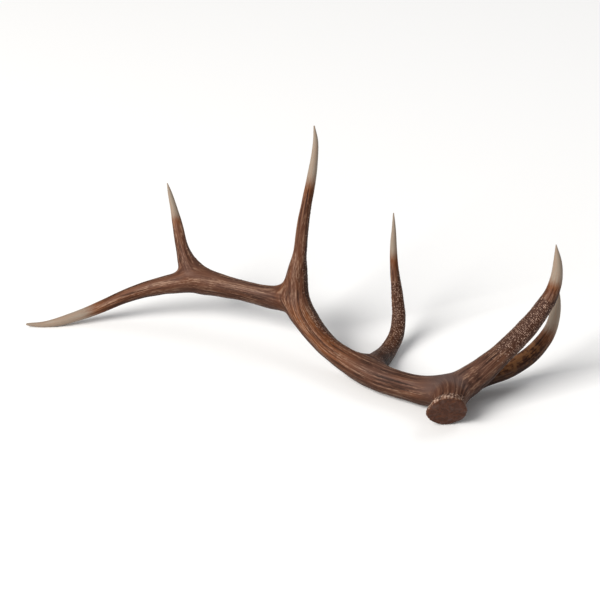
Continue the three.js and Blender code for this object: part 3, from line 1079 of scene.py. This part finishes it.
def new_group(name, inputs, outputs):
    """An empty shader node group with named sockets: its tree, and its input and output nodes."""
    tree = bpy.data.node_groups.new(name, "ShaderNodeTree")
    for label, kind, default in inputs:
        socket = tree.interface.new_socket(label, in_out="INPUT", socket_type="NodeSocket" + kind)
        socket.default_value = default
    for label, kind in outputs:
        tree.interface.new_socket(label, in_out="OUTPUT", socket_type="NodeSocket" + kind)
    return tree, tree.nodes.new("NodeGroupInput").outputs, tree.nodes.new("NodeGroupOutput").inputs


def placed(tree, group, **values):
    """A group placed in a tree with its own values."""
    made = node(tree, "ShaderNodeGroup", node_tree=group)
    for key, value in values.items():
        socket = made.inputs[key.replace("_", " ")]
        if isinstance(value, bpy.types.NodeSocket):
            tree.links.new(value, socket)
        else:
            socket.default_value = value
    return made.outputs


def grain_group():
    """Streaks finer than the mesh: noise drawn out along the limb, on the stretch's own grain
    and on the fork's, mixed by the fork's share."""
    tree, given, result = new_group(
        "Antler Grain", [("Across", "Float", 1.5), ("Length", "Float", 30.0), ("Seed", "Float", 0.0)],
        [("Value", "Float")])
    fine = math_node(tree, "DIVIDE", 1.0, given["Across"])
    slow = math_node(tree, "DIVIDE", 1.0, given["Length"])
    scale = node(tree, "ShaderNodeCombineXYZ", {"X": fine, "Y": fine, "Z": slow}).outputs[0]
    streaks = []
    for name in ("grain", "fork_grain"):
        place = node(tree, "ShaderNodeVectorMath", {0: note(tree, name, "Vector"), 1: scale},
                     operation="MULTIPLY").outputs[0]
        links = {"Vector": place, "W": given["Seed"], "Scale": 1.0, "Detail": 2.0}
        streaks.append(node(tree, "ShaderNodeTexNoise", links, noise_dimensions="4D").outputs[0])
    mixed = node(tree, "ShaderNodeMix", {0: note(tree, "share"), 2: streaks[0], 3: streaks[1]})
    tree.links.new(mixed.outputs[0], result["Value"])
    return tree


BONE_COLOURS = ("Body", "Dark", "Ridge", "Grey", "Rust", "Ochre", "Ivory", "Bead", "Seat")
BEAD_STRENGTHS = {"burr": 0.9, "beam": 0.72, "tine": 0.72}   # by material slot
GLOSS = 0.13
STREAK_HEIGHT = 0.0006   # of the streaks finer than the mesh, in metres
STREAK_STRENGTH = 0.6


def bone_group(grain):
    """The antler's colour, roughness and fine height from its notes: reddish brown that darkens
    in stained channels, with painted shade on the underside and on the shaded side, thin tan
    threads in bundles along the limb, upper sides greyed partly by bleaching and partly by
    painted sheen, rustier and ochre stretches, pale beads and knobs, a mottled seat, and worn
    tips that go through rust to ivory."""
    colours = [(name, "Color", (0.1, 0.05, 0.03, 1.0)) for name in BONE_COLOURS]
    tree, given, result = new_group(
        "Antler Bone", colours + [("Bead Strength", "Float", 0.6)],
        [("Color", "Color"), ("Roughness", "Float"), ("Height", "Float")])
    object_place = node(tree, "ShaderNodeTexCoord").outputs["Object"]

    def patches(scale):
        links = {"Vector": object_place, "Scale": scale, "Detail": 3.0}
        return node(tree, "ShaderNodeTexNoise", links).outputs[0]

    def times(first, second):
        return math_node(tree, "MULTIPLY", first, second)

    def swing(value, gain, base):
        return math_node(tree, "MULTIPLY_ADD", math_node(tree, "SUBTRACT", value, 0.5), gain, base)

    def toned(name, high=0.8):
        return mix_colour(tree, ramp(tree, tone, -0.35, high), given["Dark"], given[name])

    streak, thread, bundle, hair = (
        placed(tree, grain, Across=across, Length=length, Seed=seed)["Value"]
        for across, length, seed in STREAKS.values())
    beads, rust, grey, dark = (note(tree, name) for name in ("bead", "rust", "grey", "dark"))
    sky, tip, ridge = (note(tree, name) for name in ("sky", "tip", "ridge"))

    loud = ramp(tree, note(tree, "calm"), 0.0, 0.95, 1.0, 0.12)
    tone = swing(hair, 0.75, swing(thread, 0.6, swing(streak, 0.45, ridge)))
    tone = math_node(tree, "MULTIPLY_ADD", math_node(tree, "SUBTRACT", tone, 0.55), loud, 0.55)
    rusty = times(rust, ramp(tree, swing(streak, 0.6, patches(10.0)), 0.36, 0.62))
    colour = mix_colour(tree, times(rusty, 0.9), toned("Body"), toned("Rust"))
    # Upper sides greyed, partly as bleaching and partly as painted sheen.
    bleach_and_sheen = times(times(grey, sky), ramp(tree, patches(14.0), 0.3, 0.6, 0.6))
    colour = mix_colour(tree, bleach_and_sheen, colour, toned("Grey", 0.75))

    bright = ramp(tree, swing(hair, 0.8, swing(ridge, 0.25, thread)), 0.47, 0.75)
    bright = times(times(bright, loud), ramp(tree, bundle, 0.42, 0.56, 0.15))
    colour = mix_colour(tree, bright, colour, given["Ridge"])
    flecks = ramp(tree, swing(streak, 0.5, patches(80.0)), 0.46, 0.6)
    ochre = times(ramp(tree, rust, 0.88, 1.0), flecks)
    colour = mix_colour(tree, ochre, colour, given["Ochre"])

    # Painted shade on the undersides, deeper where the dark note is high.
    under = ramp(tree, sky, 0.05, 0.68, 1.0, 0.0)
    under = times(under, math_node(tree, "MULTIPLY_ADD", dark, 0.4, 0.56))
    # Painted shade from the dark note, weaker on the upper sides; the channels' own staining joins it
    # below.
    painted_shade = times(dark, ramp(tree, sky, 0.3, 1.0, 0.95, 0.55))
    stain_and_painted_shade = math_node(tree, "MAXIMUM", times(note(tree, "channel"), 0.62), painted_shade)
    stain_and_painted_shade = math_node(tree, "MAXIMUM", stain_and_painted_shade, under)
    colour = mix_colour(tree, stain_and_painted_shade, colour, given["Dark"])
    pale = times(ramp(tree, beads, 0.1, 0.85), given["Bead Strength"])
    colour = mix_colour(tree, pale, colour, given["Bead"])

    spots = mix_colour(tree, ramp(tree, note(tree, "pit"), 0.2, 0.7, 0.7), given["Dark"], given["Seat"])
    spots = mix_colour(tree, ramp(tree, patches(30.0), 0.55, 0.72, 0.0, 0.5), spots, given["Rust"])
    spots = mix_colour(tree, ramp(tree, patches(55.0), 0.5, 0.7, 0.0, 0.5), spots, given["Grey"])
    colour = mix_colour(tree, ramp(tree, note(tree, "burr"), 1.1, 1.6), colour, spots)

    wavy = swing(streak, 0.5, swing(hair, 0.35, tip))
    colour = mix_colour(tree, ramp(tree, wavy, 0.0, 0.5, 0.0, 0.5), colour, given["Rust"])
    ivory = mix_colour(tree, ramp(tree, tone, 0.1, 0.7, 0.6), given["Ridge"], given["Ivory"])
    colour = mix_colour(tree, ramp(tree, wavy, 0.3, 1.0), colour, ivory)
    tree.links.new(colour, result["Color"])

    rough = ramp(tree, tone, 0.2, 0.9, 0.6, 0.46)
    rough = math_node(tree, "MULTIPLY_ADD", tip, -0.1, rough)
    tree.links.new(rough, result["Roughness"])
    height = math_node(tree, "MULTIPLY_ADD", thread, 0.7, times(hair, 0.3))
    height = times(height, ramp(tree, tip, 0.2, 1.0, 1.0, 0.2))
    tree.links.new(height, result["Height"])
    return tree


def bone_material(name, group, colour, bead_strength):
    """A finish of the antler: the bone group's colour, roughness and height on one shader."""
    material = bpy.data.materials.new(name)
    material.use_nodes = True
    tree = material.node_tree
    shader = tree.nodes["Principled BSDF"]
    values = {key: (*getattr(colour, key.lower()), 1.0) for key in BONE_COLOURS}
    bone = placed(tree, group, Bead_Strength=bead_strength, **values)
    bump = node(tree, "ShaderNodeBump", {"Height": bone["Height"], "Distance": STREAK_HEIGHT,
                                         "Strength": STREAK_STRENGTH})
    tree.links.new(bone["Color"], shader.inputs["Base Color"])
    tree.links.new(bone["Roughness"], shader.inputs["Roughness"])
    tree.links.new(bump.outputs[0], shader.inputs["Normal"])
    shader.inputs["Specular IOR Level"].default_value = GLOSS
    return material


def antler_materials():
    """The three finishes by the name of their slot, made once."""
    if "Antler Bone" not in bpy.data.node_groups:
        group = bone_group(grain_group())
        colour = bpy.context.scene.antler_colours
        for slot, strength in BEAD_STRENGTHS.items():
            bone_material("Antler " + slot, group, colour, strength)
    return {slot: bpy.data.materials["Antler " + slot] for slot in BEAD_STRENGTHS}


# ---------------------------------------------------------------- settings

def colour_setting(name, default, description):
    """A colour that a user may change."""
    return FloatVectorProperty(name=name, default=default, size=3, min=0.0, max=1.0, subtype="COLOR",
                               description=description)


class AntlerSizes(bpy.types.PropertyGroup):
    """Sizes of the skin, in millimetres."""
    columns: IntProperty(name="Columns", default=192, min=48,
                         description="Points round each ring, divisible by four")
    ring_step: FloatProperty(name="Ring step", default=1.0, min=0.6,
                             description="Distance between rings, mm")
    fillet: FloatProperty(name="Fillet", default=9.0, min=1.0, description="Softness of the crotches, mm")
    flute: FloatProperty(name="Flutes", default=0.42, min=0.0, description="Height of the broad flutes, mm")
    ridge: FloatProperty(name="Ridges", default=0.36, min=0.0, description="Height of the ridges, mm")
    line: FloatProperty(name="Lines", default=0.3, min=0.0, description="Height of the fine lines, mm")
    channel: FloatProperty(name="Channels", default=0.4, min=0.0, description="Depth of the channels, mm")
    bead: FloatProperty(name="Beads", default=0.7, min=0.0, description="Height of the beads, mm")
    knob: FloatProperty(name="Burr knobs", default=2.0, min=0.0,
                        description="Height of the burr's knobs, mm")


class AntlerColours(bpy.types.PropertyGroup):
    """Colours of the bone."""
    body: colour_setting("Body", (0.106, 0.0372, 0.0172), "Reddish brown of the flanks")
    # Dark is also the colour of the painted shade on the undersides and the shaded side.
    dark: colour_setting("Dark", (0.011, 0.0036, 0.0021), "Stain in channels and hollows")
    ridge: colour_setting("Ridge", (0.29, 0.172, 0.112), "Tan threads along the ridges")
    # Grey also stands for painted sheen on the upper sides, besides bleaching, and mottles the seat.
    grey: colour_setting("Grey", (0.100, 0.064, 0.055), "Greyer brown of the upper sides")
    rust: colour_setting("Rust", (0.175, 0.056, 0.0148), "Orange brown")
    ochre: colour_setting("Ochre", (0.32, 0.142, 0.056), "Yellowish patches on the rustiest parts")
    ivory: colour_setting("Ivory", (0.27, 0.216, 0.168), "Worn tips")
    bead: colour_setting("Bead", (0.44, 0.30, 0.23), "Tops of beads and knobs")
    seat: colour_setting("Seat", (0.075, 0.027, 0.0145), "Mottled face of the burr")


class StageSettings(bpy.types.PropertyGroup):
    """Floor and lights."""
    floor: colour_setting("Floor", (0.94, 0.94, 0.94), "Pale floor")
    floor_size: FloatProperty(name="Floor size", default=14.0, subtype="DISTANCE",
                              description="Side of the floor")
    key_power: FloatProperty(name="Key light", default=1800.0, subtype="POWER",
                             description="Power of the key light")
    fill_power: FloatProperty(name="Fill light", default=70.0, subtype="POWER",
                              description="Power of the fill light")
    world: FloatProperty(name="Surroundings", default=0.3, min=0.0,
                         description="Strength of the pale surroundings")
    lens: FloatProperty(name="Lens", default=120.0, description="Focal length, mm")


# ---------------------------------------------------------------- stage

CAMERA_OFFSET = np.array([-0.302375, -3.435904, 2.24884])   # metres from the seat
CAMERA_TURN = (math.radians(60.0), 0.0, 0.0)
SENSOR = 36.0
LIGHT_TARGET = (0.0, 0.3, 0.1)
KEY_PLACE = (-7.2, -5.6, 7.4)
KEY_SIDE = 6.5
KEY_COLOUR = (1.0, 0.98, 0.95)
FILL_PLACE = (3.6, 2.4, 5.0)
FILL_SIDE = 3.0
FILL_COLOUR = (0.95, 0.97, 1.0)


def floor_mesh(size):
    """A flat square: x and y run over a 2 x 2 grid and z is zero."""
    x, y = np.meshgrid([-size / 2, size / 2], [-size / 2, size / 2])
    mesh = bpy.data.meshes.new("floor")
    mesh.from_pydata(np.stack([x.ravel(), y.ravel(), np.zeros(4)], 1).tolist(), [], [(0, 1, 3, 2)])
    return mesh


def area_light(name, place, side, power, colour):
    """A square soft light that faces the antler."""
    light = bpy.data.lights.new(name, "AREA")
    light.shape, light.size, light.energy, light.color = "SQUARE", side, power, colour
    lamp = bpy.data.objects.new(name, light)
    lamp.location = place
    lamp.rotation_euler = (Vector(LIGHT_TARGET) - Vector(place)).to_track_quat("-Z", "Y").to_euler()
    bpy.context.scene.collection.objects.link(lamp)


def build_stage():
    """The floor, the lights, the pale surroundings and the camera."""
    scene, stage = bpy.context.scene, bpy.context.scene.antler_stage
    floor = bpy.data.objects.new("floor", floor_mesh(stage.floor_size))
    scene.collection.objects.link(floor)
    paper = bpy.data.materials.new("Pale paper")
    paper.use_nodes = True
    shader = paper.node_tree.nodes["Principled BSDF"]
    shader.inputs["Base Color"].default_value = (*stage.floor, 1.0)
    shader.inputs["Roughness"].default_value = 0.9
    shader.inputs["Specular IOR Level"].default_value = 0.1
    floor.data.materials.append(paper)
    area_light("key light", KEY_PLACE, KEY_SIDE, stage.key_power, KEY_COLOUR)
    area_light("fill light", FILL_PLACE, FILL_SIDE, stage.fill_power, FILL_COLOUR)
    world = bpy.data.worlds.new("surroundings")
    world.use_nodes = True
    sky = world.node_tree.nodes["Background"]
    sky.inputs["Color"].default_value = (1.0, 1.0, 1.0, 1.0)
    sky.inputs["Strength"].default_value = stage.world
    scene.world = world
    scene.view_settings.view_transform = "Standard"
    view = bpy.data.cameras.new("camera")
    view.lens, view.sensor_width = stage.lens, SENSOR
    camera = bpy.data.objects.new("camera", view)
    camera.location = SEAT / 1000.0 + CAMERA_OFFSET
    camera.rotation_euler = CAMERA_TURN
    scene.collection.objects.link(camera)
    scene.camera = camera


# ---------------------------------------------------------------- operators and panel

def build_group(wanted):
    """Builds the pieces of one material slot, and raises an error if a node is missing."""
    materials = antler_materials()
    for name, (slot, _) in PIECES.items():
        if slot != wanted:
            continue
        if name not in frame["nodes"]:
            raise RuntimeError(f"the frame has no node {name}")
        build_piece(name, materials)


class ANTLER_OT_burr_base(bpy.types.Operator):
    """Build the burr with the roots of the beam and of the two lowest tines"""
    bl_idname = "antler.burr_base"
    bl_label = "Burr and base"

    def execute(self, context):
        build_group("burr")
        return {"FINISHED"}


class ANTLER_OT_beam(bpy.types.Operator):
    """Build the three lengths of the beam"""
    bl_idname = "antler.beam"
    bl_label = "Beam"

    def execute(self, context):
        build_group("beam")
        return {"FINISHED"}


class ANTLER_OT_tines(bpy.types.Operator):
    """Build the six tines"""
    bl_idname = "antler.tines"
    bl_label = "Tines"

    def execute(self, context):
        build_group("tine")
        return {"FINISHED"}


class ANTLER_OT_stage(bpy.types.Operator):
    """Lay the floor, hang the lights and place the camera"""
    bl_idname = "antler.stage"
    bl_label = "Stage"

    def execute(self, context):
        build_stage()
        return {"FINISHED"}


OPERATORS = (ANTLER_OT_burr_base, ANTLER_OT_beam, ANTLER_OT_tines, ANTLER_OT_stage)


class ANTLER_PT_panel(bpy.types.Panel):
    """The antler's builders and settings in the sidebar"""
    bl_label = "Elk Antler"
    bl_idname = "ANTLER_PT_panel"
    bl_space_type = "VIEW_3D"
    bl_region_type = "UI"
    bl_category = "Antler"

    def draw(self, context):
        for operator in OPERATORS:
            self.layout.operator(operator.bl_idname)
        for owner in (context.scene.antler_sizes, context.scene.antler_colours, context.scene.antler_stage):
            box = self.layout.box()
            for name in type(owner).__annotations__:
                box.prop(owner, name)


CLASSES = (AntlerSizes, AntlerColours, StageSettings) + OPERATORS + (ANTLER_PT_panel,)


def register():
    for each in CLASSES:
        bpy.utils.register_class(each)
    bpy.types.Scene.antler_sizes = PointerProperty(type=AntlerSizes)
    bpy.types.Scene.antler_colours = PointerProperty(type=AntlerColours)
    bpy.types.Scene.antler_stage = PointerProperty(type=StageSettings)


def unregister():
    del bpy.types.Scene.antler_stage
    del bpy.types.Scene.antler_colours
    del bpy.types.Scene.antler_sizes
    for each in reversed(CLASSES):
        bpy.utils.unregister_class(each)


def main():
    register()
    bpy.ops.antler.burr_base()
    bpy.ops.antler.beam()
    bpy.ops.antler.tines()
    bpy.ops.antler.stage()


if __name__ == "__main__":
    main()
